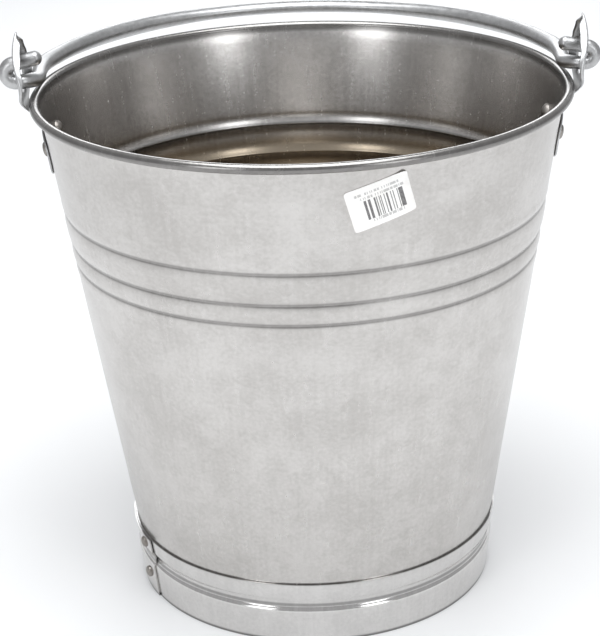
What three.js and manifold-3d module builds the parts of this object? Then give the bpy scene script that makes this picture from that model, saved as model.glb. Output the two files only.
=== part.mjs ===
// Galvanised steel feed bucket: a conical sheet body with a wired rim, a seamed
// bottom disc, a riveted foot ring, two riveted ears and a swinging bail.
// Millimetres, +Z up. The origin is on the floor, under the bucket's axis. The
// ears lie on the X axis, and at rest the bail lies back over the rim towards +Y.

import * as THREE from 'three';
import { mergeVertices } from 'three/addons/utils/BufferGeometryUtils.js';
import Module from 'manifold-3d';

const wasm = await Module();
wasm.setup();

// ---- Driving dimensions ------------------------------------------------------

const SEGMENTS = 60; // facets round the bucket
const GAP = 0.3; // clearance between pieces that touch on the real bucket
const CUTTER = 60; // height of a cutting tool, taller than anything it trims

const BODY = {
  sheet: 0.6,
  radiusAtFloor: 96.6, // outer cone, carried down to the floor plane
  slope: 0.152, // radius gained per millimetre of height
  hemZ: 27.2,
  hemHeight: 6,
};
const GROOVES = [
  { z: 222.3, width: 8, depth: 0.9 },
  { z: 205.3, width: 9, depth: 1.05 },
  { z: 194.2, width: 7, depth: 0.75 },
];
const SEAM = { bottomZ: 38, topZ: 236, width: 7, height: 1.1 };
const RIM = { radius: 141.5, z: 279.5, rollRadius: 2.5, wireRadius: 1.55, neckDrop: 3.7 };
const FLOOR = { sheet: 0.8, z: 37 };
const RING = {
  sheet: 0.8,
  // [radius, z] up the outside: skirt, rounded shoulder, waist under the hem
  skirt: [[99.5, 0], [100.8, 12], [101.4, 18.2], [101.3, 20.6], [100.5, 23], [100.7, 25]],
  collarZ: 27.4,
  topZ: 36.4,
};
const LAP = { sheet: 0.8, frontDeg: 27, backDeg: 12, rivetDeg: 21.5 };
const RING_RIVET = { shank: 1.7, head: 3.2, dome: 2.1, tilt: 0.1, upperZ: 31, lowerZ: 11.5 };

const EAR = {
  sheet: 1.2,
  tipZ: 315,
  bottomZ: 239.5,
  eyeRadius: 10.9,
  seatGap: 0.35, // between the cone and the plate's inner face
  rimGap: 2.2, // between the rim's roll and the plate
  lean: 0.185, // outward lean above the rim
  bowRadius: 80, // the leaf is dished to this from side to side
  bowFade: [279, 292], // heights between which the dishing comes in
  jog: [267.5, 277.5], // heights between which the plate steps out round the rim
  curlZ: 297, // above here the tip curls back towards the bucket
  curl: 0.0145,
  // [y, z] down one side, between the tip and the middle of the foot: a leaf, a
  // neck past the rim, and a broad foot for the rivets
  side: [[4.5, 311], [12.5, 303.5], [19.5, 295.5], [21.5, 288.5], [20, 283], [15, 279],
    [9, 276], [7.5, 271.5], [10.5, 267], [19, 264], [26.5, 260], [27.5, 252], [23, 245],
    [12, 240.5]],
};
const EAR_RIVET = { shank: 2.1, head: 3.9, dome: 1.6, innerHead: 4.4, innerDome: 2.8 };
const EAR_RIVET_SPOT = { y: 19, z: 256.5 };

const HINGE_Z = 293.4;
const BAIL = {
  rod: 4, // rod radius
  halfSpan: 146, // half-axes of the arch
  reach: 160,
  archZ: 286.8, // the arch rests just over the rim
  hookX: 151, // where the outer U-turn begins
  lowerZ: 288, // the strand that goes out through the eye
  endX: 136.5, // where the returning strand ends
  neck: [[141, 12.5], [141.2, 19], [141.7, 28]], // [x, y] where the arm runs in beside the ear
};
// The hooks are bent by hand and aren't quite alike: the radius of the U-turn,
// and how far the returning strand rises.
const HOOKS = {
  right: { uTurn: 4.5, openDeg: 10 },
  left: { uTurn: 5, openDeg: 13 },
};

const LABEL = {
  width: 32,
  height: 22.6,
  sheet: 0.3,
  corner: 1.6,
  turnDeg: 15, // round from the front towards +X
  z: 258.7,
  tiltDeg: 17,
};

// ---- Solids ------------------------------------------------------------------

// A closed three.js geometry as a solid that can be joined and cut.
function solidOf(geometry) {
  const bare = new THREE.BufferGeometry();
  bare.setAttribute('position', geometry.getAttribute('position').clone());
  if (geometry.index) bare.setIndex(geometry.index.clone());
  const merged = mergeVertices(bare, 1e-4);
  const vertProperties = new Float32Array(merged.getAttribute('position').array);
  const triVerts = new Uint32Array(merged.index.array);
  return new wasm.Manifold(new wasm.Mesh({ numProp: 3, vertProperties, triVerts }));
}

function geometryOf(solid) {
  const mesh = solid.getMesh();
  const geometry = new THREE.BufferGeometry();
  geometry.setAttribute('position', new THREE.BufferAttribute(mesh.vertProperties, 3));
  geometry.setIndex(new THREE.BufferAttribute(mesh.triVerts, 1));
  geometry.computeVertexNormals();
  return geometry;
}

function cutAll(solid, tools) {
  return tools.reduce((left, tool) => left.subtract(tool), solid);
}

// Turns [radius, z] points about the Z axis. A profile that doesn't start on
// the axis is closed on itself, and every profile is put the right way round.
function turned(profile, segments = SEGMENTS) {
  let points = profile.map(([radius, z]) => new THREE.Vector2(radius, z));
  if (THREE.ShapeUtils.area(points) < 0) points.reverse();
  if (profile[0][0] > 0) points = [...points, points[0].clone()];
  return new THREE.LatheGeometry(points, segments).rotateX(Math.PI / 2);
}

// An arc of [radius, z] points about a centre, from one angle to another.
function arcPoints(centre, radius, fromDeg, toDeg, steps) {
  return Array.from({ length: steps + 1 }, (_, i) => {
    const angle = THREE.MathUtils.degToRad(fromDeg + ((toDeg - fromDeg) * i) / steps);
    return [centre[0] + radius * Math.cos(angle), centre[1] + radius * Math.sin(angle)];
  });
}

// Stands an XY outline up so that its x runs along +Y, its y along +Z and its
// thickness along +X.
function facingX(geometry) {
  const basis = new THREE.Matrix4().makeBasis(
    new THREE.Vector3(0, 1, 0),
    new THREE.Vector3(0, 0, 1),
    new THREE.Vector3(1, 0, 0),
  );
  return geometry.applyMatrix4(basis);
}

// ---- Body --------------------------------------------------------------------

const coneTilt = Math.atan(BODY.slope);
const coneRadius = (z) => BODY.radiusAtFloor + BODY.slope * z;

// The wall line at a distance outside the cone, with the pressed-in grooves.
function wallLine(offset, bottomZ, topZ) {
  const line = [[coneRadius(topZ) + offset, topZ]];
  for (const { z, width, depth } of GROOVES) {
    line.push([coneRadius(z + width / 2) + offset, z + width / 2]);
    line.push([coneRadius(z) + offset - depth, z]);
    line.push([coneRadius(z - width / 2) + offset, z - width / 2]);
  }
  line.push([coneRadius(bottomZ) + offset, bottomZ]);
  return line;
}

// The sheet's edge is rolled outwards over the rim wire and ends just short of
// the wall, and its lower edge is hemmed inwards round the bottom disc's skirt.
function makeBody() {
  const { sheet, hemZ, hemHeight } = BODY;
  const centre = [RIM.radius, RIM.z];
  const rollOuter = arcPoints(centre, RIM.rollRadius, 160, -125, 7);
  const rollInner = arcPoints(centre, RIM.rollRadius - sheet, -125, 160, 6);
  const neckZ = RIM.z - RIM.neckDrop;
  const pinch = sheet + FLOOR.sheet + 2 * GAP;
  const hemTop = hemZ + hemHeight;
  const profile = [
    ...rollOuter,
    ...rollInner,
    ...wallLine(0, hemZ, neckZ),
    [coneRadius(hemZ) - pinch - sheet, hemZ],
    [coneRadius(hemTop) - pinch - sheet, hemTop],
    [coneRadius(hemTop) - pinch, hemTop],
    [coneRadius(hemZ) - pinch, hemZ + sheet],
    [coneRadius(hemZ) - sheet, hemZ + sheet],
    ...wallLine(-sheet, hemZ + sheet, neckZ).reverse().slice(1),
  ];
  const seam = facingX(new THREE.BoxGeometry(SEAM.width, 1, 2, 1, 1, 1));
  const corners = seam.getAttribute('position');
  for (let i = 0; i < corners.count; i += 1) {
    const z = corners.getZ(i) > 0 ? SEAM.topZ : SEAM.bottomZ;
    const depth = corners.getX(i) > 0 ? -BODY.sheet / 2 : SEAM.height;
    corners.setXYZ(i, -(coneRadius(z) + depth), corners.getY(i), z);
  }
  return solidOf(turned(profile)).add(solidOf(seam));
}

function makeRimWire() {
  return turned(arcPoints([RIM.radius, RIM.z], RIM.wireRadius, 0, 360, 8).slice(1));
}

function makeBottomDisc() {
  const skirtBottom = BODY.hemZ + BODY.sheet + GAP;
  const outer = (z) => coneRadius(z) - BODY.sheet - GAP;
  return turned([
    [0, FLOOR.z - FLOOR.sheet],
    [outer(FLOOR.z) - FLOOR.sheet, FLOOR.z - FLOOR.sheet],
    [outer(skirtBottom) - FLOOR.sheet, skirtBottom],
    [outer(skirtBottom), skirtBottom],
    [outer(FLOOR.z), FLOOR.z],
    [0, FLOOR.z],
  ]);
}

// ---- Foot ring ---------------------------------------------------------------

// The ring's outer line: skirt, rounded shoulder, waist under the body's hem,
// and the collar that hugs the cone.
const ringLine = [
  ...RING.skirt,
  ...[RING.collarZ, RING.topZ].map((z) => [coneRadius(z) + GAP + RING.sheet, z]),
];

function bandOutside(line, inset, outset) {
  const inner = line.map(([radius, z]) => [radius - inset, z]);
  const outer = line.map(([radius, z]) => [radius + outset, z]);
  return turned([...outer, ...inner.reverse()]);
}

// The ring is one strip whose ends overlap at the left, just in front of -X.
function makeFootRing() {
  const reach = 2 * BODY.radiusAtFloor;
  const corner = (deg) => {
    const angle = Math.PI + THREE.MathUtils.degToRad(deg);
    return new THREE.Vector2(reach * Math.cos(angle), reach * Math.sin(angle));
  };
  const wedge = new THREE.Shape([new THREE.Vector2(), corner(-LAP.backDeg), corner(LAP.frontDeg)]);
  const cutter = solidOf(new THREE.ExtrudeGeometry(wedge, { depth: CUTTER, bevelEnabled: false }));
  const lap = solidOf(bandOutside(ringLine, RING.sheet / 2, LAP.sheet)).intersect(cutter);
  return solidOf(bandOutside(ringLine, RING.sheet, 0)).add(lap);
}

// ---- Rivets ------------------------------------------------------------------

// A rivet turned about its own axis: a flat or low head inside, a shank, and a
// domed head outside. The seats are distances along the axis.
function rivetGeometry({ shank, head, dome, innerHead, innerDome }, innerSeat, outerSeat) {
  const domePoints = [0, 30, 60].map((deg) => {
    const angle = THREE.MathUtils.degToRad(deg);
    return [head * Math.cos(angle), outerSeat + dome * Math.sin(angle)];
  });
  const inside = innerHead
    ? [[0, innerSeat - innerDome], [innerHead * 0.7, innerSeat - innerDome],
      [innerHead, innerSeat - innerDome * 0.4], [innerHead, innerSeat], [shank, innerSeat]]
    : [[0, innerSeat], [shank, innerSeat]];
  return turned([...inside, [shank, outerSeat], ...domePoints, [0, outerSeat + dome]], 10);
}

// Turns +Z along the cone's outward normal at a turn about the axis, and moves
// the origin to the point there that is a radius from the axis.
function onCone(turn, radius, z, tilt) {
  const normal = new THREE.Vector3(
    Math.cos(turn) * Math.cos(tilt),
    Math.sin(turn) * Math.cos(tilt),
    -Math.sin(tilt),
  );
  const turnTo = new THREE.Quaternion().setFromUnitVectors(new THREE.Vector3(0, 0, 1), normal);
  const place = new THREE.Vector3(radius * Math.cos(turn), radius * Math.sin(turn), z);
  return new THREE.Matrix4().compose(place, turnTo, new THREE.Vector3(1, 1, 1));
}

function drillAt(place, radius) {
  const drill = new THREE.CylinderGeometry(radius, radius, 20, 10).rotateX(Math.PI / 2);
  return solidOf(drill.applyMatrix4(place));
}

function earRivetPlace({ y, z }) {
  const radius = coneRadius(z);
  return onCone(Math.asin(y / radius), radius, z, coneTilt);
}

const earRivetSpots = [
  { name: 'front', y: -EAR_RIVET_SPOT.y, z: EAR_RIVET_SPOT.z },
  { name: 'back', ...EAR_RIVET_SPOT },
];
const ringRivetSpots = [
  { name: 'upper', z: RING_RIVET.upperZ },
  { name: 'lower', z: RING_RIVET.lowerZ },
];
const ringRivetTurn = Math.PI + THREE.MathUtils.degToRad(LAP.rivetDeg);

function ringRadius(z) {
  const above = ringLine.findIndex(([, lineZ]) => lineZ > z);
  const [[r0, z0], [r1, z1]] = [ringLine[above - 1], ringLine[above]];
  return r0 + ((r1 - r0) * (z - z0)) / (z1 - z0);
}

const ringRivetPlace = ({ z }) => onCone(ringRivetTurn, ringRadius(z), z, RING_RIVET.tilt);

// ---- Ears --------------------------------------------------------------------

// The plate's inner face: it hugs the cone below, steps out round the rim, and
// leans outwards above it, with its tip curled back in.
function plateX(y, z) {
  const hug = Math.sqrt((coneRadius(z) + EAR.seatGap) ** 2 - y * y);
  const rimClear = RIM.radius + RIM.rollRadius + EAR.rimGap;
  const bow = ((y * y) / (2 * EAR.bowRadius)) * THREE.MathUtils.smoothstep(z, ...EAR.bowFade);
  const curl = EAR.curl * Math.max(0, z - EAR.curlZ) ** 2;
  const stand = rimClear + EAR.lean * Math.max(0, z - RIM.z) - bow - curl;
  return THREE.MathUtils.lerp(hug, stand, THREE.MathUtils.smoothstep(z, ...EAR.jog));
}

// A leaf with a pointed top, a narrow neck at the rim and a broad foot.
function earOutline() {
  const right = EAR.side.map(([y, z]) => new THREE.Vector2(y, z));
  const left = EAR.side.map(([y, z]) => new THREE.Vector2(-y, z)).reverse();
  return new THREE.Shape()
    .moveTo(0, EAR.tipZ)
    .splineThru([...right, new THREE.Vector2(0, EAR.bottomZ)])
    .splineThru([...left, new THREE.Vector2(0, EAR.tipZ)]);
}

function makeEar() {
  const spare = 2;
  const width = 2 * Math.max(...EAR.side.map(([y]) => y)) + 2 * spare;
  const height = EAR.tipZ - EAR.bottomZ + 2 * spare;
  const plate = new THREE.BoxGeometry(EAR.sheet, width, height, 1, 10, 14);
  plate.translate(0, 0, (EAR.tipZ + EAR.bottomZ) / 2);
  const points = plate.getAttribute('position');
  for (let i = 0; i < points.count; i += 1) {
    const outward = points.getX(i) > 0 ? EAR.sheet : 0;
    points.setX(i, plateX(points.getY(i), points.getZ(i)) + outward);
  }
  const cutter = new THREE.ExtrudeGeometry(earOutline(), {
    depth: CUTTER,
    bevelEnabled: false,
    curveSegments: 2,
  });
  const leaf = solidOf(facingX(cutter).translate(RIM.radius - CUTTER / 2, 0, 0));
  const eye = new THREE.CylinderGeometry(EAR.eyeRadius, EAR.eyeRadius, CUTTER, 24)
    .rotateZ(Math.PI / 2)
    .translate(RIM.radius, 0, HINGE_Z);
  const drills = earRivetSpots.map((spot) => drillAt(earRivetPlace(spot), EAR_RIVET.shank + GAP));
  return cutAll(solidOf(plate).intersect(leaf), [solidOf(eye), ...drills]);
}

// ---- Bail --------------------------------------------------------------------

// A rod path whose steps follow its own points, so the tight hooks get short
// steps and the long arch gets long ones.
class RodPath extends THREE.CatmullRomCurve3 {
  getPointAt(u, target) {
    return this.getPoint(u, target);
  }

  getTangentAt(u, target) {
    return this.getTangent(u, target);
  }
}

// Half of the rod as it runs on the right, from the hook's end to beside the grip.
function bailHalf({ uTurn, openDeg }) {
  const { halfSpan, reach, archZ, hookX, lowerZ, endX, neck } = BAIL;
  const at = (x, y, z) => new THREE.Vector3(x, y, z);
  const deg = THREE.MathUtils.degToRad;
  const turn = [90 - openDeg, 60, 30, 0, -30, -60, -90].map((a) => at(
    hookX + uTurn * Math.cos(deg(a)),
    0,
    lowerZ + uTurn + uTurn * Math.sin(deg(a)),
  ));
  const rise = (turn[0].x - endX) * Math.tan(deg(openDeg));
  const end = at(endX, 0, turn[0].z + rise);
  const strand = [end, end.clone().lerp(turn[0], 0.5)];
  const [neckX, neckY] = neck[0];
  const intoArm = [20, 40, 65, 90].map((a) => {
    const y = neckY * (1 - Math.cos(deg(a)));
    const z = THREE.MathUtils.lerp(lowerZ, archZ, THREE.MathUtils.smoothstep(y, 0, neckY));
    return at(THREE.MathUtils.lerp(hookX, neckX, Math.sin(deg(a))), y, z);
  });
  const alongEar = neck.slice(1).map(([x, y]) => at(x, y, archZ));
  const arch = [15, 21, 28, 36, 45, 54, 63, 72, 81].map((a) => at(
    halfSpan * Math.cos(deg(a)),
    reach * Math.sin(deg(a)),
    archZ,
  ));
  return [...strand, ...turn, ...intoArm, ...alongEar, ...arch];
}

function makeBail() {
  const right = bailHalf(HOOKS.right);
  const left = bailHalf(HOOKS.left).map(({ x, y, z }) => new THREE.Vector3(-x, y, z)).reverse();
  const grip = new THREE.Vector3(0, BAIL.reach, BAIL.archZ);
  const path = new RodPath([...right, grip, ...left]);
  const section = new THREE.Shape().absarc(0, 0, BAIL.rod, 0, 2 * Math.PI);
  return new THREE.ExtrudeGeometry(section, {
    steps: (path.points.length - 1) * 2,
    curveSegments: 5,
    bevelEnabled: false,
    extrudePath: path,
  });
}

// ---- Price label -------------------------------------------------------------

function roundedRectangle(width, height, corner) {
  const [w, h] = [width / 2, height / 2];
  return new THREE.Shape()
    .moveTo(-w + corner, -h)
    .lineTo(w - corner, -h)
    .absarc(w - corner, -h + corner, corner, -Math.PI / 2, 0)
    .absarc(w - corner, h - corner, corner, 0, Math.PI / 2)
    .absarc(-w + corner, h - corner, corner, Math.PI / 2, Math.PI)
    .absarc(-w + corner, -h + corner, corner, Math.PI, 1.5 * Math.PI);
}

function makeLabel() {
  const [low, high] = [LABEL.z - LABEL.height, LABEL.z + LABEL.height];
  const inner = (z) => coneRadius(z) + GAP;
  const shell = turned([
    [inner(low) + LABEL.sheet, low],
    [inner(high) + LABEL.sheet, high],
    [inner(high), high],
    [inner(low), low],
  ], 128);
  const outline = roundedRectangle(LABEL.width, LABEL.height, LABEL.corner);
  const cutter = new THREE.ExtrudeGeometry(outline, {
    depth: CUTTER,
    bevelEnabled: false,
    curveSegments: 3,
  });
  facingX(cutter.rotateZ(THREE.MathUtils.degToRad(LABEL.tiltDeg)));
  cutter.rotateY(coneTilt).translate(coneRadius(LABEL.z) - CUTTER / 2, 0, LABEL.z);
  cutter.rotateZ(THREE.MathUtils.degToRad(LABEL.turnDeg - 90));
  return solidOf(shell).intersect(solidOf(cutter));
}

// ---- Assembly ----------------------------------------------------------------

const zinc = (color, roughness) => () => new THREE.MeshStandardMaterial({
  color,
  roughness,
  metalness: 1,
});
const bodyZinc = zinc(0xb4b7b8, 0.34);
const ringZinc = zinc(0xc4c4c2, 0.22);
const dippedZinc = zinc(0x9a9d9f, 0.5);
const rivetZinc = zinc(0x8f9294, 0.45);
const wireSteel = zinc(0x7d7f80, 0.5);
const paper = () => new THREE.MeshStandardMaterial({ color: 0xf1f0ec, roughness: 0.8, metalness: 0 });

function part(name, shape, makeMaterial) {
  const geometry = shape instanceof THREE.BufferGeometry ? shape : geometryOf(shape);
  const mesh = new THREE.Mesh(geometry, makeMaterial());
  mesh.name = name;
  return mesh;
}

const group = new THREE.Group();

const bodyDrills = [0, Math.PI].flatMap((turn) => earRivetSpots.map((spot) => {
  const place = new THREE.Matrix4().makeRotationZ(turn).multiply(earRivetPlace(spot));
  return drillAt(place, EAR_RIVET.shank + GAP);
}));
group.add(part('body_shell', cutAll(makeBody(), bodyDrills), bodyZinc));
group.add(part('rim_wire', makeRimWire(), wireSteel));
group.add(part('bottom_disc', makeBottomDisc(), bodyZinc));

const ringDrills = ringRivetSpots.map((spot) => drillAt(ringRivetPlace(spot), RING_RIVET.shank + GAP));
group.add(part('foot_ring', cutAll(makeFootRing(), ringDrills), ringZinc));
for (const spot of ringRivetSpots) {
  const rivet = rivetGeometry(RING_RIVET, -RING.sheet, LAP.sheet + GAP);
  const mesh = part(`foot_ring_rivet_${spot.name}`, rivet, rivetZinc);
  mesh.applyMatrix4(ringRivetPlace(spot));
  group.add(mesh);
}

const innerSeat = -(BODY.sheet + GAP);
const outerSeat = EAR.seatGap + EAR.sheet + GAP;
for (const [side, turn] of [['right', 0], ['left', Math.PI]]) {
  const mounting = new THREE.Group();
  mounting.rotation.z = turn;
  mounting.add(part(`ear_${side}`, makeEar(), dippedZinc));
  for (const spot of earRivetSpots) {
    const rivet = part(
      `ear_${side}_rivet_${spot.name}`,
      rivetGeometry(EAR_RIVET, innerSeat, outerSeat),
      rivetZinc,
    );
    rivet.applyMatrix4(earRivetPlace(spot));
    mounting.add(rivet);
  }
  group.add(mounting);
}

group.add(part('bail_handle', makeBail(), dippedZinc));
group.add(part('price_label', makeLabel(), paper));

export default group;
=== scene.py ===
import math

import bmesh
import bpy
from mathutils import Matrix, Vector, noise
from mathutils.geometry import delaunay_2d_cdt


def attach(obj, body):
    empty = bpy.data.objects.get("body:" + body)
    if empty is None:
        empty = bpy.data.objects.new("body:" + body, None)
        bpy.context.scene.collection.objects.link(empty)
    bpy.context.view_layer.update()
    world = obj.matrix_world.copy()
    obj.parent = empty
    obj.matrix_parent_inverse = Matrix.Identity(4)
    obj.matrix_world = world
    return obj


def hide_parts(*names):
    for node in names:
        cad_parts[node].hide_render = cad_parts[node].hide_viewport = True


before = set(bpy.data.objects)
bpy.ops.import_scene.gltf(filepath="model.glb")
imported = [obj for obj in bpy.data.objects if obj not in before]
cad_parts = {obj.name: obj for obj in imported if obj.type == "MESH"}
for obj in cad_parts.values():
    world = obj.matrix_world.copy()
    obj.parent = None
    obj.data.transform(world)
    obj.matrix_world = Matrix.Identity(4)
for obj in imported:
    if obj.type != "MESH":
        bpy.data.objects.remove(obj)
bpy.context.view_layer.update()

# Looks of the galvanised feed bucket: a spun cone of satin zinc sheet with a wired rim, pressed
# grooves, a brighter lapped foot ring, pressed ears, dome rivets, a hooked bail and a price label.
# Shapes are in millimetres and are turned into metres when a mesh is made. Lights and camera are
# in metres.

MM = 0.001

# ---- Driving dimensions ----------------------------------------------------------------------

WALL_SHEET = 0.6
CONE_AT_FLOOR = 96.6          # outer cone radius carried down to the floor
CONE_SLOPE = 0.152            # radius gained per millimetre of height
HEM_Z = 27.2
HEM_HEIGHT = 6.0
GROOVES = ((222.3, 14.0, 1.15), (205.3, 14.0, 1.25), (194.2, 10.0, 0.85))  # height, width, depth
RIM_RADIUS = 141.5
RIM_Z = 279.5
ROLL_RADIUS = 2.5
FLOOR_Z = 37.0
FLOOR_SHEET = 0.8
FIT_GAP = 0.3                 # between a sheet and the one that it is fitted to
HEM_SLACK = 0.6               # room in the hem beyond the two sheets in it
WALL_STEP = 3
GROOVE_STEP = 0.5             # the wall's rows are closer where the grooves are
BAND_SWELL = 0.35
DENT_DEPTH = 0.12

SEAM_TOP = 236.0
SEAM_HALF_WIDTH = 3.6
SEAM_HEIGHT = 1.15

DISC_BEND = 2.2               # radius from the bottom disc into its skirt
BEAD_RADIUS = 82
BEAD_HALF_WIDTH = 5
BEAD_DEPTH = 1.1

RING_SHEET = 0.8
RING_TOP = 36.4
LAP_END = 27.0                # degrees in front of the left side where the outer end stops
LAP_START = -6.0              # where the inner end starts, behind the left side
LAP_RIVET = 21.5
LAP_GAP = 0.12
LAP_FLARE = 0.4
COLLAR_Z = 28.0               # from here up the ring follows the cone
RING_RIVET_TILT = 0.1         # radians

HINGE_Z = 293.4
EYE_RADIUS = 10.9
EAR_SHEET = 1.2
EAR_SEAT = 0.35               # from the cone to the plate's inner face
EAR_RIM_GAP = 2.2
EAR_LEAN = 0.185
CURL_Z = 297.0                # above here the ear's tip curls back in
CURL = 0.0145
EAR_BOW = 80.0                # radius the leaf is dished to, above the rim
EAR_BOW_Z = (279, 292)        # where the dishing sets in
EAR_STEP_Z = (267.5, 277.5)   # where the plate steps out round the rim
EAR_CROWN = 0.2
EAR_EDGE = 0.5                # how far the plate's edges are rounded
EAR_RIVET_Y = 19
EAR_RIVET_Z = 256.5

BAIL_HALF_SPAN = 146.0
BAIL_REACH = 160.0
ARCH_Z = 286.8
HOOK_X = 151.0                # where the outer U-turn begins
LOWER_Z = 288.0               # the strand that goes out through the eye
HOOKS = {"right": (4.5, 10.0), "left": (5.0, 13.0)}  # U-turn radius, rise of the return in degrees
HOOK_END_X = 136.5
NECK_X = 140.9
SWEEP = (9.5, 12.5)           # half-axes of the bend from the arm into the eye
ROD_LEFT_HOOK = 3.95          # the rod's radii
ROD_RIGHT_HOOK = 3.6
ROD_ARM = 4.45
ROD_SWELL = 0.2               # added where the arm runs into the grip
ROD_SWELL_X = 108
GRIP_HIGH = 3.65
GRIP_WIDE = 5.05
ROD_END = 3.2                 # length over which the cut ends are rounded

RIM_WIRE_RADIUS = 1.6
RIM_WIRE_END = 0.4            # degrees from the side seam to each cut end

CONE_TILT = math.atan(CONE_SLOPE)


def cone(z):
    return CONE_AT_FLOOR + CONE_SLOPE * z


def smooth(low, high, value):
    t = min(1.0, max(0.0, (value - low) / (high - low)))
    return t * t * (3 - 2 * t)


def mix(a, b, t):
    return a + (b - a) * t


# ---- Mesh helpers ----------------------------------------------------------------------------

def make_mesh(name, points, faces, sharp_deg=40):
    """A smooth-shaded closed mesh from points in millimetres, its faces turned outwards."""
    mesh = bpy.data.meshes.new(name)
    mesh.from_pydata([(x * MM, y * MM, z * MM) for x, y, z in points], [], faces)
    work = bmesh.new()
    work.from_mesh(mesh)
    bmesh.ops.remove_doubles(work, verts=work.verts, dist=0.001 * MM)
    bmesh.ops.recalc_face_normals(work, faces=work.faces)
    work.to_mesh(mesh)
    work.free()
    mesh.polygons.foreach_set("use_smooth", [True] * len(mesh.polygons))
    mesh.set_sharp_from_angle(angle=math.radians(sharp_deg))
    mesh.update()
    piece = bpy.data.objects.new(name, mesh)
    bpy.context.scene.collection.objects.link(piece)
    return piece


def loop_faces(rings, count, closed):
    """Quads between neighbouring rings of the same point count."""
    faces = []
    last = rings if closed else rings - 1
    for i in range(last):
        j = (i + 1) % rings
        for k in range(count):
            m = (k + 1) % count
            faces.append((i * count + k, j * count + k, j * count + m, i * count + m))
    return faces


def sheet_loop(line, thickness):
    """A closed outline round a centre line of [radius, z] points, half the sheet to each side."""
    left, right = [], []
    for i, (r, z) in enumerate(line):
        r0, z0 = line[max(i - 1, 0)]
        r1, z1 = line[min(i + 1, len(line) - 1)]
        length = math.hypot(r1 - r0, z1 - z0)
        nr, nz = (z1 - z0) / length, -(r1 - r0) / length
        left.append((r + nr * thickness / 2, z + nz * thickness / 2))
        right.append((r - nr * thickness / 2, z - nz * thickness / 2))
    return left + right[::-1]


def spin(name, outline, segments, shift=None):
    """Spins a closed outline about Z. shift(angle, r, z) is added to the radius."""
    points = []
    for i in range(segments):
        angle = 2 * math.pi * i / segments
        c, s = math.cos(angle), math.sin(angle)
        for r, z in outline:
            radius = r + (shift(angle, r, z) if shift else 0)
            points.append((radius * c, radius * s, z))
    return make_mesh(name, points, loop_faces(segments, len(outline), True))


def arc(centre, radius, from_deg, to_deg, steps):
    points = []
    for i in range(steps + 1):
        a = math.radians(mix(from_deg, to_deg, i / steps))
        points.append((centre[0] + radius * math.cos(a), centre[1] + radius * math.sin(a)))
    return points


# ---- Body ------------------------------------------------------------------------------------

def groove_depth(z):
    """How far the wall is pressed in at a height: a sharp crease with soft flanks."""
    depth = 0.0
    for centre, width, deepest in GROOVES:
        t = abs(z - centre) / (width / 2)
        if t < 1:
            depth = max(depth, deepest * (math.sqrt((1 - t) ** 4 + 0.01) - 0.1))
    return depth


def swell(z):
    """The bands between the grooves stand a little proud of the cone."""
    top, bottom = GROOVES[0][0] + 8, GROOVES[-1][0] - 8
    return BAND_SWELL * smooth(bottom, bottom + 6, z) * (1 - smooth(top - 6, top, z))


def wall_dents(angle, r, z):
    """Slow waves of a tenth of a millimetre or so, as any thin sheet wall has."""
    fade = smooth(HEM_Z + 8, HEM_Z + 40, z) * (1 - smooth(RIM_Z - 30, RIM_Z - 6, z))
    place = Vector((math.cos(angle) * 2.2, math.sin(angle) * 2.2, z / 60))
    return fade * DENT_DEPTH * noise.noise(place)


def make_body():
    half = WALL_SHEET / 2
    pinch = WALL_SHEET + FLOOR_SHEET + HEM_SLACK
    hem_top = HEM_Z + HEM_HEIGHT
    line = [(cone(hem_top) - pinch - half, hem_top)]
    bend = pinch / 2
    line += arc((cone(HEM_Z) - half - bend, HEM_Z + half + bend), bend, 185, 355, 10)
    z = HEM_Z + 3
    while z < RIM_Z - 4:
        line.append((cone(z) - half - groove_depth(z) + swell(z), z))
        z += GROOVE_STEP if GROOVES[-1][0] - 6 < z < GROOVES[0][0] + 7 else WALL_STEP
    line.append((cone(RIM_Z) - half - 0.3, RIM_Z - 3.2))
    line += arc((RIM_RADIUS, RIM_Z), ROLL_RADIUS - half, 185, -128, 30)
    return spin("pail_body", sheet_loop(line, WALL_SHEET), 300, wall_dents)


def make_side_seam():
    """The flattened lock seam down the left side, a low strip with rounded shoulders."""
    bottom, half_width, height = RING_TOP + 1.5, SEAM_HALF_WIDTH, SEAM_HEIGHT
    section = [(-half_width, -0.3), (-half_width, height * 0.55), (-half_width + 0.5, height),
               (half_width - 1.1, height), (half_width - 0.2, height * 0.3),
               (half_width, -0.3)]
    rings = 90
    points = []
    for i in range(rings):
        z = mix(bottom, SEAM_TOP, i / (rings - 1))
        sink = groove_depth(z) - swell(z)
        for across, lift in section:
            angle = math.pi - across / cone(z)
            radius = cone(z) - sink + lift * smooth(0, 0.03, min(i, rings - 1 - i) / rings + 0.012)
            points.append((radius * math.cos(angle), radius * math.sin(angle), z))
    count = len(section)
    faces = loop_faces(rings, count, False)
    faces += [tuple(range(count)), tuple(range(len(points) - 1, len(points) - count - 1, -1))]
    return make_mesh("side_seam", points, faces)


def make_bottom_disc():
    """A pressed disc with a stiffening bead and a skirt turned down into the body's hem."""
    half = FLOOR_SHEET / 2
    edge = cone(FLOOR_Z) - WALL_SHEET - FIT_GAP - half
    skirt = cone(HEM_Z + 1) - WALL_SHEET - FIT_GAP - half
    line = [(skirt, HEM_Z + 1.2)]
    line += arc((edge - DISC_BEND, FLOOR_Z - half - DISC_BEND), DISC_BEND, 5, 90, 8)
    steps = 39
    for i in range(1, steps + 1):
        r = mix(edge - DISC_BEND, 0, i / steps)
        bead = BEAD_DEPTH * max(0.0, 1 - ((r - BEAD_RADIUS) / BEAD_HALF_WIDTH) ** 2)
        line.append((r, FLOOR_Z - half - bead))
    return spin("pail_bottom", sheet_loop(line, FLOOR_SHEET), 180)


# ---- Foot ring -------------------------------------------------------------------------------

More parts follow.
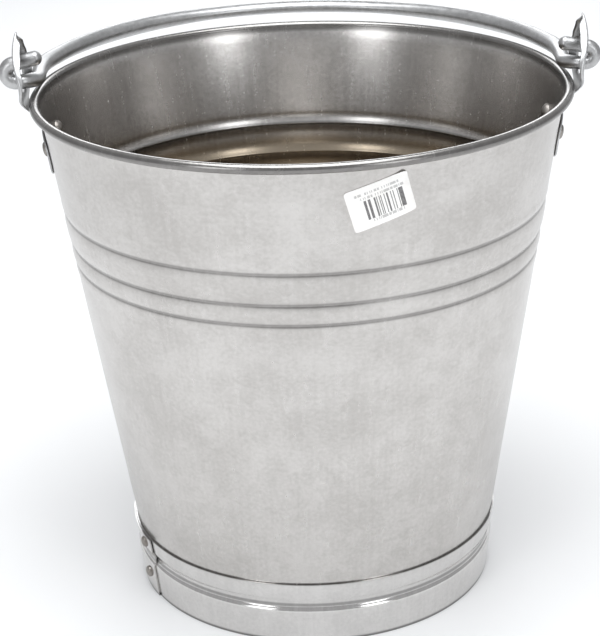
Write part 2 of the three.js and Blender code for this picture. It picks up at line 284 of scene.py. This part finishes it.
# [outer radius, z] up the ring: skirt, rounded shoulder, and the waist under the hem
RING_PROFILE = ((99.5, 0.0), (99.9, 4.0), (100.35, 8.0), (100.8, 12.0), (101.15, 15.5),
                (101.4, 17.2), (101.5, 18.4), (101.47, 19.1), (101.3, 19.7), (100.95, 20.2),
                (100.5, 20.7), (100.25, 21.2), (100.15, 21.8), (100.15, 23.0), (100.25, 24.2),
                (100.55, 25.2), (100.95, 26.1), (101.35, 26.9))


def ring_line():
    """The strip's centre line: its profile, and above it the collar that hugs the cone."""
    half = RING_SHEET / 2
    line = [(r - half, z) for r, z in RING_PROFILE]
    z = COLLAR_Z
    while z < RING_TOP:
        line.append((cone(z) + FIT_GAP + half, z))
        z += 2.0
    line.append((cone(RING_TOP) + FIT_GAP + half, RING_TOP))
    return line


def lap_shift(turn, z):
    """How far the strip stands out. Its last part lies on its first, and flares at the end."""
    over = smooth(340, 354, turn) * (RING_SHEET + LAP_GAP)
    flare = smooth(366, 360 + LAP_END, turn) * (z / RING_TOP) ** 2 * LAP_FLARE
    return over + flare


def make_foot_ring():
    outline = sheet_loop(ring_line(), RING_SHEET)
    first, last, rings = LAP_START, 360 + LAP_END, 330
    points = []
    for i in range(rings):
        turn = mix(first, last, i / (rings - 1))
        angle = math.pi + math.radians(turn)
        for r, z in outline:
            radius = r + lap_shift(turn, z)
            points.append((radius * math.cos(angle), radius * math.sin(angle), max(0.0, z)))
    count = len(outline)
    faces = loop_faces(rings, count, False)
    faces += [tuple(range(count)), tuple(range(len(points) - 1, len(points) - count - 1, -1))]
    return make_mesh("foot_ring_strip", points, faces)


# ---- Rivets ----------------------------------------------------------------------------------

def on_cone(angle, radius, z, tilt):
    """A matrix that stands +Z along the wall's outward normal at a place on it, in mm."""
    normal = Vector((math.cos(angle) * math.cos(tilt), math.sin(angle) * math.cos(tilt),
                     -math.sin(tilt)))
    turn = Vector((0, 0, 1)).rotation_difference(normal)
    place = Vector((radius * math.cos(angle), radius * math.sin(angle), z))
    return Matrix.Translation(place) @ turn.to_matrix().to_4x4()


# Radii of shank and heads, heights of the heads, and where they sit along the rivet
RING_RIVET = {"shank": 1.7, "head": 3.2, "dome": 2.1, "inner_head": 0, "inner_dome": 0,
              "inner_seat": -1.2, "outer_seat": 0.92}
EAR_RIVET = {"shank": 2.1, "head": 3.9, "dome": 1.6, "inner_head": 4.4, "inner_dome": 2.8,
             "inner_seat": -0.75, "outer_seat": EAR_SEAT + EAR_SHEET - 0.05}


def make_rivet(name, place, shank, head, dome, inner_head, inner_dome, inner_seat, outer_seat):
    """A shank, a slightly flattened dome outside and, if inner_dome isn't 0, a head inside."""
    outline = [(0, inner_seat - inner_dome)]
    if inner_dome:
        outline += [(inner_head * t, inner_seat - inner_dome * (1 - t ** 4))
                    for t in (0.3, 0.55, 0.75, 0.88, 0.96)]
        outline += [(inner_head, inner_seat)]
    outline += [(shank, inner_seat), (shank, outer_seat)]
    for i in range(11):
        a = math.radians(9 * i)
        lift = dome * (math.sin(a) ** 0.85) if i else 0
        outline.append((head * math.cos(a), outer_seat + lift))
    segments = 32
    points = [place @ Vector((0, 0, outline[0][1]))]
    for r, z in outline[1:-1]:
        for k in range(segments):
            a = 2 * math.pi * k / segments
            wobble = 1 + 0.025 * math.sin(3 * a + z)
            points.append(place @ Vector((r * wobble * math.cos(a), r * wobble * math.sin(a), z)))
    points.append(place @ Vector((0, 0, outline[-1][1])))
    rings = len(outline) - 2
    faces = [(0, 1 + (k + 1) % segments, 1 + k) for k in range(segments)]
    for i in range(rings - 1):
        a, b = 1 + i * segments, 1 + (i + 1) * segments
        for k in range(segments):
            m = (k + 1) % segments
            faces.append((a + k, a + m, b + m, b + k))
    top, start = len(points) - 1, 1 + (rings - 1) * segments
    faces += [(start + k, start + (k + 1) % segments, top) for k in range(segments)]
    return make_mesh(name, points, faces, 50)


# ---- Ears ------------------------------------------------------------------------------------

# [y, z] down one side: a leaf with a pointed tip, a neck past the rim, a foot for the rivets
EAR_POINTS = ((0, 315), (4.5, 311), (12.5, 303.5), (19.5, 295.5), (21.5, 288.5), (20, 283),
              (15, 279), (9, 276), (7.5, 271.5), (10.5, 267), (19, 264), (26.5, 260), (27.5, 252),
              (23, 245), (12, 240.5), (0, 239.5))


def spline(points, steps):
    """Catmull-Rom through a list of tuples, ends repeated by mirroring the last step."""
    first = tuple(2 * a - b for a, b in zip(points[0], points[1]))
    last = tuple(2 * a - b for a, b in zip(points[-1], points[-2]))
    padded = [first, *points, last]
    curve = []
    for p0, p1, p2, p3 in zip(padded, padded[1:], padded[2:], padded[3:]):
        for i in range(steps):
            t = i / steps
            curve.append(tuple(
                0.5 * (2 * b + (c - a) * t + (2 * a - 5 * b + 4 * c - d) * t * t
                       + (3 * b - a - 3 * c + d) * t ** 3)
                for a, b, c, d in zip(p0, p1, p2, p3)))
    curve.append(tuple(points[-1]))
    return curve


def plate_x(y, z):
    """The plate's inner face: hugs the cone, steps round the rim, leans out, curls in on top."""
    hug = math.sqrt((cone(z) + EAR_SEAT) ** 2 - y * y)
    stand = RIM_RADIUS + ROLL_RADIUS + EAR_RIM_GAP + EAR_LEAN * max(0.0, z - RIM_Z)
    stand -= y * y / (2 * EAR_BOW) * smooth(*EAR_BOW_Z, z) + CURL * max(0.0, z - CURL_Z) ** 2
    return mix(hug, stand, smooth(*EAR_STEP_Z, z))


def edge_gap(y, z, outline):
    """The distance from a place on the plate to its outline."""
    nearest = math.inf
    for (y0, z0), (y1, z1) in zip(outline, outline[1:] + outline[:1]):
        dy, dz = y1 - y0, z1 - z0
        t = min(1.0, max(0.0, ((y - y0) * dy + (z - z0) * dz) / (dy * dy + dz * dz)))
        nearest = min(nearest, math.hypot(y - y0 - t * dy, z - z0 - t * dz))
    return nearest


def is_inside(y, z, outline):
    inside = False
    for (y0, z0), (y1, z1) in zip(outline, outline[1:] + outline[:1]):
        if (z0 > z) != (z1 > z) and y < y0 + (z - z0) * (y1 - y0) / (z1 - z0):
            inside = not inside
    return inside


EDGE_ROWS = (0.16, 0.5, 1.0, 1.7, 2.6)  # how far in the rows of points along the edges lie
INNER_BORDER = 3.2            # the even grid starts this far from the edges
INNER_STEP = 1.7


def ear_plan():
    """The flat plate as triangles: its outline, the eye, and finer rows along both edges."""
    half = spline(EAR_POINTS, 9)
    outline = half + [(-y, z) for y, z in half[-2:0:-1]]
    eye = [(EYE_RADIUS * math.cos(a), HINGE_Z + EYE_RADIUS * math.sin(a))
           for a in (2 * math.pi * k / 56 for k in range(56))]
    spots = outline + eye
    n, m = len(outline), len(eye)
    edges = [(i, (i + 1) % n) for i in range(n)] + [(n + i, n + (i + 1) % m) for i in range(m)]
    for inset in EDGE_ROWS:
        for i, (y, z) in enumerate(outline):
            (y0, z0), (y1, z1) = outline[i - 1], outline[(i + 1) % n]
            long = math.hypot(y1 - y0, z1 - z0)
            spot = (y + (z1 - z0) * inset / long, z - (y1 - y0) * inset / long)
            if edge_gap(*spot, outline) > inset * 0.9:
                spots.append(spot)
        spots += [(y * (1 + inset / EYE_RADIUS), HINGE_Z + (z - HINGE_Z) * (1 + inset / EYE_RADIUS))
                  for y, z in eye]
    for i in range(-17, 18):
        for j in range(45):
            y, z = i * INNER_STEP, EAR_POINTS[-1][1] + j * INNER_STEP
            clear = math.hypot(y, z - HINGE_Z) > EYE_RADIUS + INNER_BORDER
            if clear and is_inside(y, z, outline) and edge_gap(y, z, outline) > INNER_BORDER:
                spots.append((y, z))
    result = delaunay_2d_cdt([Vector(p) for p in spots], edges, [], 0, 1e-4)
    spots, triangles = [tuple(p) for p in result[0]], []
    for triangle in result[2]:
        y = sum(spots[k][0] for k in triangle) / 3
        z = sum(spots[k][1] for k in triangle) / 3
        if math.hypot(y, z - HINGE_Z) > EYE_RADIUS and is_inside(y, z, outline):
            triangles.append(tuple(triangle))
    return outline, spots, triangles


def rounding(gap):
    """How far a face of the plate falls away this close to an edge."""
    near = max(0.0, 1 - max(0.0, gap) / EAR_EDGE)
    return EAR_EDGE * (1 - math.sqrt(1 - near ** 2))


def make_ear(name, side, plan):
    """A pressed plate with rounded edges. Above the rim its border is turned in as a lip."""
    outline, spots, triangles = plan
    outer, inner = [], []
    for y, z in spots:
        edge = edge_gap(y, z, outline)
        hole = math.hypot(y, z - HINGE_Z) - EYE_RADIUS
        crown = EAR_CROWN * smooth(280, 289, z) * smooth(1.5, 6, edge)
        lip = 0.7 * smooth(280, 284, z) + 1.0 * smooth(290, 294, z) + 1.4 * smooth(297, 303, z)
        lip *= 1 - smooth(309, 313.5, z)
        lip *= 1 - smooth(1.3, 2.6, edge)
        worn = rounding(edge) + rounding(hole)
        x = plate_x(y, z)
        outer.append((x + EAR_SHEET + crown - worn, y, z))
        inner.append((x + crown - lip + worn, y, z))
    count = len(spots)
    faces = [*triangles] + [(c + count, b + count, a + count) for a, b, c in triangles]
    once = {}
    for a, b, c in triangles:
        for pair in ((a, b), (b, c), (c, a)):
            key = tuple(sorted(pair))
            once[key] = None if key in once else pair
    faces += [(b, a, a + count, b + count) for a, b in filter(None, once.values())]
    points = [(side * x, side * y, z) for x, y, z in outer + inner]
    return make_mesh(name, points, faces, 60)


# ---- Bail ------------------------------------------------------------------------------------

def bail_half(u_turn, open_deg):
    """Half the rod's centre line as it runs on the right, from the hook's end to the grip."""
    turn = []
    steps = 14
    for i in range(steps + 1):
        a = math.radians(mix(90 - open_deg, -90, i / steps))
        turn.append((HOOK_X + u_turn * math.cos(a), 0.0, LOWER_Z + u_turn + u_turn * math.sin(a)))
    first = turn[0]
    end_z = first[2] + (first[0] - HOOK_END_X) * math.tan(math.radians(open_deg))
    half = [(mix(HOOK_END_X, first[0], t), 0.0, mix(end_z, first[2], t))
            for t in (0, 0.2, 0.4, 0.6, 0.8)]
    half += turn
    for a in (15, 30, 45, 60, 75, 90):
        y = SWEEP[1] * (1 - math.cos(math.radians(a)))
        half.append((NECK_X + SWEEP[0] * (1 - math.sin(math.radians(a))), y,
                     mix(LOWER_Z, ARCH_Z, smooth(0, SWEEP[1], y))))
    half += [(NECK_X + 0.2, 19.0, ARCH_Z), (NECK_X + 0.7, 28.0, ARCH_Z)]
    for a in (15, 21, 28, 36, 45, 54, 63, 72, 81):
        half.append((BAIL_HALF_SPAN * math.cos(math.radians(a)),
                     BAIL_REACH * math.sin(math.radians(a)), ARCH_Z))
    return half


def make_bail():
    """One bent rod. Its section is round in the hooks and arms and pressed flatter in the grip."""
    right = bail_half(*HOOKS["right"])
    left = [(-x, y, z) for x, y, z in reversed(bail_half(*HOOKS["left"]))]
    path = [Vector(p) for p in spline(right + [(0.0, BAIL_REACH, right[-1][2])] + left, 5)]
    count, sides = len(path), 28
    normal = Vector((0, 1, 0))
    points = []
    for i, centre in enumerate(path):
        tangent = (path[min(i + 1, count - 1)] - path[max(i - 1, 0)]).normalized()
        normal = (normal - tangent * normal.dot(tangent)).normalized()
        side = tangent.cross(normal)
        to_end = min((centre - path[0]).length, (centre - path[-1]).length)
        cap = math.sqrt(max(0.03, 1 - max(0.0, 1 - to_end / ROD_END) ** 2))
        hook = mix(ROD_LEFT_HOOK, ROD_RIGHT_HOOK, smooth(130, 150, centre.x))
        round_radius = mix(hook, ROD_ARM, smooth(18, 44, centre.y))
        round_radius += ROD_SWELL * math.exp(-((abs(centre.x) - ROD_SWELL_X) / 14) ** 2)
        grip = (1 - smooth(45, 92, abs(centre.x))) * smooth(50, 70, centre.y)
        high = mix(round_radius, GRIP_HIGH, grip) * cap
        wide = mix(round_radius, GRIP_WIDE, grip) * cap
        for k in range(sides):
            a = 2 * math.pi * k / sides
            out = normal * math.cos(a) + side * math.sin(a)
            reach = wide * high / math.hypot(high * math.hypot(out.x, out.y), wide * out.z)
            points.append(tuple(centre + out * reach))
    faces = loop_faces(count, sides, False)
    faces += [tuple(range(sides)), tuple(range(len(points) - sides, len(points)))]
    return make_mesh("bail_rod", points, faces, 60)


# ---- Rim wire and price label ----------------------------------------------------------------

def make_rim_wire():
    """A hoop of wire whose two cut ends nearly meet at the side seam."""
    rings, sides, radius = 240, 16, RIM_WIRE_RADIUS
    points = []
    for i in range(rings):
        angle = math.pi + math.radians(mix(RIM_WIRE_END, 360 - RIM_WIRE_END, i / (rings - 1)))
        for k in range(sides):
            a = 2 * math.pi * k / sides
            r = RIM_RADIUS + radius * math.cos(a)
            points.append((r * math.cos(angle), r * math.sin(angle), RIM_Z + radius * math.sin(a)))
    faces = loop_faces(rings, sides, False)
    faces += [tuple(range(sides)), tuple(range(len(points) - sides, len(points)))]
    return make_mesh("rim_wire_hoop", points, faces)


LABEL_WIDTH = 32.0
LABEL_HEIGHT = 22.6
LABEL_CORNER = 1.6
LABEL_TURN = math.radians(15 - 90)
LABEL_Z = 258.7
LABEL_TILT = math.radians(17)
LABEL_PAPER = 0.22
LABEL_GLUE = 0.08
LABEL_CORNER_LIFT = 0.9


def make_label():
    """A paper sticker bent round the wall, with rounded corners and one corner a little up."""
    across, up = 64, 48
    points = []
    for layer in (0, LABEL_PAPER):
        for j in range(up + 1):
            v = j / up - 0.5
            over = max(0.0, abs(v) * LABEL_HEIGHT - (LABEL_HEIGHT / 2 - LABEL_CORNER))
            inset = LABEL_CORNER - math.sqrt(max(0.0, LABEL_CORNER ** 2 - over ** 2))
            for i in range(across + 1):
                u = i / across - 0.5
                x, y = u * (LABEL_WIDTH - 2 * inset), v * LABEL_HEIGHT
                a = x * math.cos(LABEL_TILT) - y * math.sin(LABEL_TILT)
                h = x * math.sin(LABEL_TILT) + y * math.cos(LABEL_TILT)
                z = LABEL_Z + h * math.cos(CONE_TILT)
                angle = LABEL_TURN + a / cone(z)
                lift = LABEL_GLUE + LABEL_CORNER_LIFT * smooth(0.7, 1.05, u + v) ** 2
                lift += 0.05 * noise.noise(Vector((x / 5, y / 5, 0)))
                r = cone(z) + lift + layer
                points.append((r * math.cos(angle), r * math.sin(angle), z))
    row, sheet = across + 1, (across + 1) * (up + 1)
    faces = []
    for j in range(up):
        for i in range(across):
            k = j * row + i
            faces.append((k, k + row, k + row + 1, k + 1))
            faces.append((sheet + k, sheet + k + 1, sheet + k + row + 1, sheet + k + row))
    border = list(range(row)) + [j * row + across for j in range(1, up + 1)]
    border += [up * row + i for i in range(across - 1, -1, -1)]
    border += [j * row for j in range(up - 1, 0, -1)]
    for k, m in zip(border, border[1:] + border[:1]):
        faces.append((k, m, sheet + m, sheet + k))
    piece = make_mesh("price_sticker", points, faces)
    layer = piece.data.uv_layers.new(name="paper")
    for loop in piece.data.loops:
        x, y, z = (c / MM for c in piece.data.vertices[loop.vertex_index].co)
        a = (math.atan2(y, x) - LABEL_TURN) * cone(z)
        h = (z - LABEL_Z) / math.cos(CONE_TILT)
        u = (a * math.cos(LABEL_TILT) + h * math.sin(LABEL_TILT)) / LABEL_WIDTH + 0.5
        v = (h * math.cos(LABEL_TILT) - a * math.sin(LABEL_TILT)) / LABEL_HEIGHT + 0.5
        layer.data[loop.index].uv = (u, v)
    return piece


# ---- Materials -------------------------------------------------------------------------------

UNROLL_RADIUS = 0.12          # metres, about the wall's own


class Shader:
    """A node material with a Principled shader and short ways to add nodes."""

    def __init__(self, name):
        self.material = bpy.data.materials.new(name)
        self.material.use_nodes = True
        self.tree = self.material.node_tree
        self.bsdf = self.tree.nodes["Principled BSDF"]

    def node(self, kind, settings=None, **inputs):
        made = self.tree.nodes.new(kind)
        for key, value in (settings or {}).items():
            setattr(made, key, value)
        for key, value in inputs.items():
            self.feed(made.inputs[key.replace("_", " ")], value)
        return made

    def feed(self, socket, value):
        if isinstance(value, bpy.types.NodeSocket):
            self.tree.links.new(value, socket)
        else:
            socket.default_value = value

    def math(self, operation, a, b=0.0, c=0.0):
        made = self.tree.nodes.new("ShaderNodeMath")
        made.operation = operation
        for socket, value in zip(made.inputs, (a, b, c)):
            self.feed(socket, value)
        return made.outputs[0]

    def spread(self, value, low, high, to_low=0.0, to_high=1.0):
        """Maps low..high smoothly on to to_low..to_high."""
        made = self.node("ShaderNodeMapRange", {"interpolation_type": "SMOOTHSTEP"})
        for key, given in (("Value", value), ("From Min", low), ("From Max", high),
                           ("To Min", to_low), ("To Max", to_high)):
            self.feed(made.inputs[key], given)
        return made.outputs["Result"]

    def colour_mix(self, factor, a, b, blend="MIX"):
        made = self.node("ShaderNodeMix", {"data_type": "RGBA", "blend_type": blend})
        self.feed(made.inputs[0], factor)
        self.feed(made.inputs[6], a)
        self.feed(made.inputs[7], b)
        return made.outputs[2]

    def noise(self, place, scale, detail=3.0, rough=0.55):
        made = self.node("ShaderNodeTexNoise", Vector=place, Scale=scale, Detail=detail,
                         Roughness=rough)
        return made.outputs["Fac"]

    def bump(self, height, distance, strength=1.0, normal=None):
        made = self.node("ShaderNodeBump", Height=height, Distance=distance, Strength=strength)
        if normal is not None:
            self.feed(made.inputs["Normal"], normal)
        return made.outputs["Normal"]

    def object_place(self):
        return self.node("ShaderNodeTexCoord").outputs["Object"]

    def wall_place(self):
        """Object space unrolled about Z: metres round the wall, and up it or out from the axis."""
        split = self.node("ShaderNodeSeparateXYZ", Vector=self.object_place())
        x, y, z = (split.outputs[key] for key in "XYZ")
        away = self.math("SQRT", self.math("ADD", self.math("MULTIPLY", x, x),
                                           self.math("MULTIPLY", y, y)))
        turn = self.math("MULTIPLY", self.math("ARCTAN2", y, x), UNROLL_RADIUS)
        return self.node("ShaderNodeCombineXYZ", X=turn, Y=self.math("ADD", z, away)).outputs[0]

    def scaled(self, place, x, y, z):
        made = self.node("ShaderNodeMapping", Vector=place)
        made.inputs["Scale"].default_value = (x, y, z)
        return made.outputs[0]


def grey(value, warm=0.0):
    return (value * (1 + warm), value, value * (1 - warm), 1)


FLAKE_MOTTLE = 0.12           # how strongly each pattern shades the zinc
CLOUD_MOTTLE = 1.1
SPECKLE_MOTTLE = 0.9
DRAWN_MOTTLE = 0.45

# Painted dark reflection: the colour and the heights used to paint the inside of the wall darker
# and browner.
INSIDE_PAINTED_REFLECTION = (0.38, 0.32, 0.245, 1)
INSIDE_PAINTED_REFLECTION_TOP = (0.211, 0.219)  # metres: full below the first, none above the second
INSIDE_PAINTED_REFLECTION_FADE = (0.12, 0.19)   # metres: full above the second, INSIDE_PAINTED_REFLECTION_LEAST below the first
INSIDE_PAINTED_REFLECTION_LEAST = 0.35


def zinc(name, light, dark, rough, grain, streak, dents=0.0, unrolled=True, painted_shade=(),
         painted_reflection_inside=False):
    """Zinc coated steel. rough is the (smoothest, roughest) pair; grain, streak and dents are the
    strengths of its fine grit, drawn scratches and dents. The bands listed as [z, half width,
    darkest], in millimetres, are painted shade. If switched on, a painted dark reflection makes
    the sheet darker and browner inside, from the top groove down."""
    s = Shader(name)
    place = s.wall_place() if unrolled else s.object_place()
    flakes = s.node("ShaderNodeTexVoronoi", {"feature": "F1"}, Vector=place, Scale=140.0)
    flake_tone = s.node("ShaderNodeSeparateColor", Color=flakes.outputs["Color"]).outputs[0]
    cloud = s.noise(place, 22.0, 5.0, 0.6)
    speckle = s.noise(place, 420.0, 3.0, 0.7)
    drawn = s.noise(s.scaled(place, 1.0, 0.06, 1.0), 330.0, 4.0, 0.65)

    tone = s.math("MULTIPLY_ADD", s.math("SUBTRACT", flake_tone, 0.5), FLAKE_MOTTLE, 0.5)
    for pattern, strength in ((cloud, CLOUD_MOTTLE), (speckle, SPECKLE_MOTTLE),
                              (drawn, DRAWN_MOTTLE)):
        tone = s.math("MULTIPLY_ADD", s.math("SUBTRACT", pattern, 0.5), strength, tone)
    colour = s.colour_mix(s.spread(tone, 0.1, 0.9), dark, light)
    height = s.node("ShaderNodeSeparateXYZ", Vector=s.object_place()).outputs["Z"]
    # Painted shade: each band darkens the colour towards its height.
    for level, reach, darkest in painted_shade:
        off = s.math("ABSOLUTE", s.math("SUBTRACT", height, level * MM))
        shade = s.spread(off, reach * 0.3 * MM, reach * MM, darkest, 1.0)
        colour = s.colour_mix(1.0, colour, s.node("ShaderNodeCombineColor", Red=shade, Green=shade,
                                                  Blue=shade).outputs[0], "MULTIPLY")
    # Painted dark reflection on the inside faces, from the top groove down.
    if painted_reflection_inside:
        facing = s.node("ShaderNodeVectorMath", {"operation": "MULTIPLY"})
        s.feed(facing.inputs[0], s.object_place())
        s.feed(facing.inputs[1], s.node("ShaderNodeNewGeometry").outputs["Normal"])
        split = s.node("ShaderNodeSeparateXYZ", Vector=facing.outputs[0])
        inside = s.math("LESS_THAN", s.math("ADD", split.outputs["X"], split.outputs["Y"]), 0.0)
        low = s.math("MULTIPLY", s.spread(height, *INSIDE_PAINTED_REFLECTION_TOP, 1.0, 0.0),
                     s.spread(height, *INSIDE_PAINTED_REFLECTION_FADE, INSIDE_PAINTED_REFLECTION_LEAST, 1.0))
        colour = s.colour_mix(s.math("MULTIPLY", inside, low), colour, INSIDE_PAINTED_REFLECTION)
    s.feed(s.bsdf.inputs["Base Color"], colour)
    s.bsdf.inputs["Metallic"].default_value = 1.0

    worn = s.math("MULTIPLY_ADD", s.math("SUBTRACT", speckle, 0.5), 0.5, drawn)
    s.feed(s.bsdf.inputs["Roughness"], s.spread(worn, 0.2, 0.8, *rough))

    normal = s.bump(speckle, 0.00004, grain)
    normal = s.bump(drawn, 0.00005, streak, normal)
    normal = s.bump(s.noise(place, 38.0, 2.0, 0.5), 0.0006, dents, normal)
    s.feed(s.bsdf.inputs["Normal"], normal)
    return s.material


def label_paper():
    """Satin paper with a generic run of bars and rows of unreadable dashes."""
    s = Shader("label_paper")
    uv = s.node("ShaderNodeUVMap", {"uv_map": "paper"}).outputs[0]
    split = s.node("ShaderNodeSeparateXYZ", Vector=uv)
    u, v = split.outputs["X"], split.outputs["Y"]

    def inside(value, low, high):
        return s.math("MULTIPLY", s.math("GREATER_THAN", value, low),
                      s.math("LESS_THAN", value, high))

    def chance(value, cells, seed):
        cell = s.math("FLOOR", s.math("MULTIPLY", value, cells))
        made = s.node("ShaderNodeTexWhiteNoise", {"noise_dimensions": "1D"})
        s.feed(made.inputs["W"], s.math("ADD", cell, seed))
        return made.outputs["Value"]

    bars = s.math("GREATER_THAN", chance(u, 76.0, 11.0), 0.5)
    bars = s.math("MULTIPLY", bars, s.math("MULTIPLY", inside(u, 0.22, 0.87),
                                           inside(v, 0.20, 0.67)))
    ink = bars
    for row, (low, high, left, right) in enumerate(((0.80, 0.86, 0.14, 0.84),
                                                    (0.70, 0.76, 0.20, 0.90),
                                                    (0.12, 0.19, 0.30, 0.84))):
        dash = s.math("GREATER_THAN", chance(u, 74.0, 20.0 + 9 * row), 0.4)
        dash = s.math("MULTIPLY", dash, s.math("MULTIPLY", inside(u, left, right),
                                               inside(v, low, high)))
        dash = s.math("MULTIPLY", dash, 0.5)
        ink = s.math("MAXIMUM", ink, dash)
    place = s.object_place()
    fibre = s.noise(place, 1800.0, 3.0, 0.6)
    stain = s.noise(place, 90.0, 3.0, 0.6)
    paper = s.colour_mix(s.spread(stain, 0.35, 0.7), (0.93, 0.91, 0.88, 1), (0.98, 0.97, 0.95, 1))
    faded = s.math("MULTIPLY", ink, s.spread(fibre, 0.2, 0.6, 0.7, 0.95))
    s.feed(s.bsdf.inputs["Base Color"], s.colour_mix(faded, paper, (0.09, 0.085, 0.09, 1)))
    s.feed(s.bsdf.inputs["Roughness"], s.spread(fibre, 0.3, 0.7, 0.42, 0.58))
    s.feed(s.bsdf.inputs["Normal"], s.bump(fibre, 0.00003, 0.5))
    return s.material


# ---- Assembly --------------------------------------------------------------------------------

def place_piece(piece, body, slot, material, *nodes):
    piece.data.materials.clear()
    piece.data.materials.append(material)
    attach(piece, body)
    if nodes:
        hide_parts(*nodes)


# Painted shade: dark bands along the grooves' creases, on and under the rim roll, along the ring's
# top edge, at its foot on the floor and in its waist.
GROOVE_PAINTED_SHADE = [(height, 1.7, 0.58) for height, *_ in GROOVES]
RIM_PAINTED_SHADE = (RIM_Z, 3.6, 0.45)
RING_PAINTED_SHADE = [(RING_TOP, 1.3, 0.85), (0.0, 2.2, 0.35), (22.6, 1.6, 0.5)]
sheet = zinc("sheet_zinc", grey(0.58, 0.03), grey(0.44, 0.04), rough=(0.23, 0.28), grain=0.15,
             streak=0.12, dents=0.05, painted_shade=[*GROOVE_PAINTED_SHADE, RIM_PAINTED_SHADE], painted_reflection_inside=True)
ring = zinc("ring_zinc", grey(0.68, 0.02), grey(0.56, 0.02), rough=(0.10, 0.15), grain=0.1,
            streak=0.15, dents=0.3, painted_shade=RING_PAINTED_SHADE)
dipped = zinc("dipped_zinc", grey(0.56), grey(0.40), rough=(0.30, 0.45), grain=0.9, streak=0.2,
              dents=0.4, unrolled=False)
studs = zinc("rivet_zinc", grey(0.36, 0.06), grey(0.20, 0.1), rough=(0.3, 0.5), grain=1.0,
             streak=0.1, dents=0.5, unrolled=False)
wire = zinc("wire_steel", grey(0.45), grey(0.32), rough=(0.3, 0.45), grain=0.5, streak=0.2,
            unrolled=False)

place_piece(make_body(), "bucket", "sheet_zinc", sheet, "body_shell")
place_piece(make_side_seam(), "bucket", "sheet_zinc", sheet)
place_piece(make_bottom_disc(), "bucket", "sheet_zinc", sheet, "bottom_disc")
place_piece(make_rim_wire(), "bucket", "wire_steel", wire, "rim_wire")
place_piece(make_foot_ring(), "bucket", "ring_zinc", ring, "foot_ring")
place_piece(make_label(), "bucket", "label_paper", label_paper(), "price_label")
place_piece(make_bail(), "bail", "dipped_zinc", dipped, "bail_handle")

for which, z, radius in (("upper", 31.0, cone(31.0) + 1.1), ("lower", 11.5, 100.75)):
    spot = on_cone(math.pi + math.radians(LAP_RIVET), radius, z, RING_RIVET_TILT)
    rivet = make_rivet("ring_stud_" + which, spot, **RING_RIVET)
    place_piece(rivet, "bucket", "rivet_zinc", studs, "foot_ring_rivet_" + which)

plan = ear_plan()
for side_name, side in (("right", 1), ("left", -1)):
    place_piece(make_ear("ear_plate_" + side_name, side, plan), "bucket", "dipped_zinc", dipped,
                "ear_" + side_name)
    for spot_name, y in (("front", -EAR_RIVET_Y), ("back", EAR_RIVET_Y)):
        radius = cone(EAR_RIVET_Z)
        spot = on_cone(math.asin(y / radius), radius, EAR_RIVET_Z, CONE_TILT)
        if side < 0:
            spot = Matrix.Rotation(math.pi, 4, "Z") @ spot
        stud = make_rivet(f"stud_{side_name}_{spot_name}", spot, **EAR_RIVET)
        place_piece(stud, "bucket", "rivet_zinc", studs, f"ear_{side_name}_rivet_{spot_name}")


# ---- Stage, light and camera -----------------------------------------------------------------

LIGHT_TARGET = Vector((0, 0, 0.2))
LIGHT_COLOUR = (0.96, 0.98, 1.0)
DOME_COLOUR = (0.97, 0.98, 1.0, 1)
DOME_STRENGTH = 0.5
# Name, place, width, height and power in watts
SOFTBOXES = (("top_box", (0.0, -0.3, 1.9), 1.6, 1.6, 36.0),
             ("back_box", (0.0, 1.7, 0.85), 1.1, 0.6, 6.0),
             ("left_box", (-0.95, -1.35, 0.65), 0.45, 0.9, 4.0),
             ("right_box", (0.95, -1.35, 0.65), 0.45, 0.9, 4.0))


def make_floor():
    size = 9.0
    mesh = bpy.data.meshes.new("studio_floor")
    mesh.from_pydata([(-size, -size, 0), (size, -size, 0), (size, size, 0), (-size, size, 0)],
                     [], [(0, 1, 2, 3)])
    floor = bpy.data.objects.new("studio_floor", mesh)
    bpy.context.scene.collection.objects.link(floor)
    return floor


def floor_material():
    s = Shader("studio_floor")
    s.bsdf.inputs["Roughness"].default_value = 0.75
    s.feed(s.bsdf.inputs["Base Color"], s.colour_mix(s.noise(s.object_place(), 3.0),
                                                     grey(0.86), grey(0.89)))
    return s.material


def make_softbox(name, place, width, height, power):
    data = bpy.data.lights.new(name, "AREA")
    data.shape = "RECTANGLE"
    data.size, data.size_y = width, height
    data.energy = power
    data.color = LIGHT_COLOUR
    light = bpy.data.objects.new(name, data)
    light.location = place
    away = Vector(place) - LIGHT_TARGET
    light.rotation_euler = away.to_track_quat("Z", "Y").to_euler()
    light.visible_camera = False
    bpy.context.scene.collection.objects.link(light)


def make_world():
    """A soft, even, pale dome."""
    world = bpy.data.worlds.new("studio")
    world.use_nodes = True
    dome = world.node_tree.nodes["Background"]
    dome.inputs["Color"].default_value = DOME_COLOUR
    dome.inputs["Strength"].default_value = DOME_STRENGTH
    bpy.context.scene.world = world


def make_camera():
    """Placed by the pail's axis: a long lens, looking down about 22 degrees, rolled slightly."""
    elevation, roll, distance = math.radians(22.02), math.radians(1.96), 1.0675
    target = Vector((-0.0048, 0, 0.1503))
    back = Vector((0, -math.cos(elevation), math.sin(elevation)))
    right, up = Vector((1, 0, 0)), Vector((0, math.sin(elevation), math.cos(elevation)))
    data = bpy.data.cameras.new("camera")
    data.lens, data.sensor_width = 108.47, 36.0
    data.shift_y = -0.0073
    data.clip_start = 0.05
    camera = bpy.data.objects.new("camera", data)
    columns = (right * math.cos(roll) - up * math.sin(roll),
               right * math.sin(roll) + up * math.cos(roll), back)
    turn = Matrix(columns).transposed().to_4x4()
    camera.matrix_world = Matrix.Translation(target + back * distance) @ turn
    bpy.context.scene.collection.objects.link(camera)
    bpy.context.scene.camera = camera


make_floor().data.materials.append(floor_material())
make_world()
make_camera()
for box in SOFTBOXES:
    make_softbox(*box)
bpy.context.scene.view_settings.view_transform = "Standard"
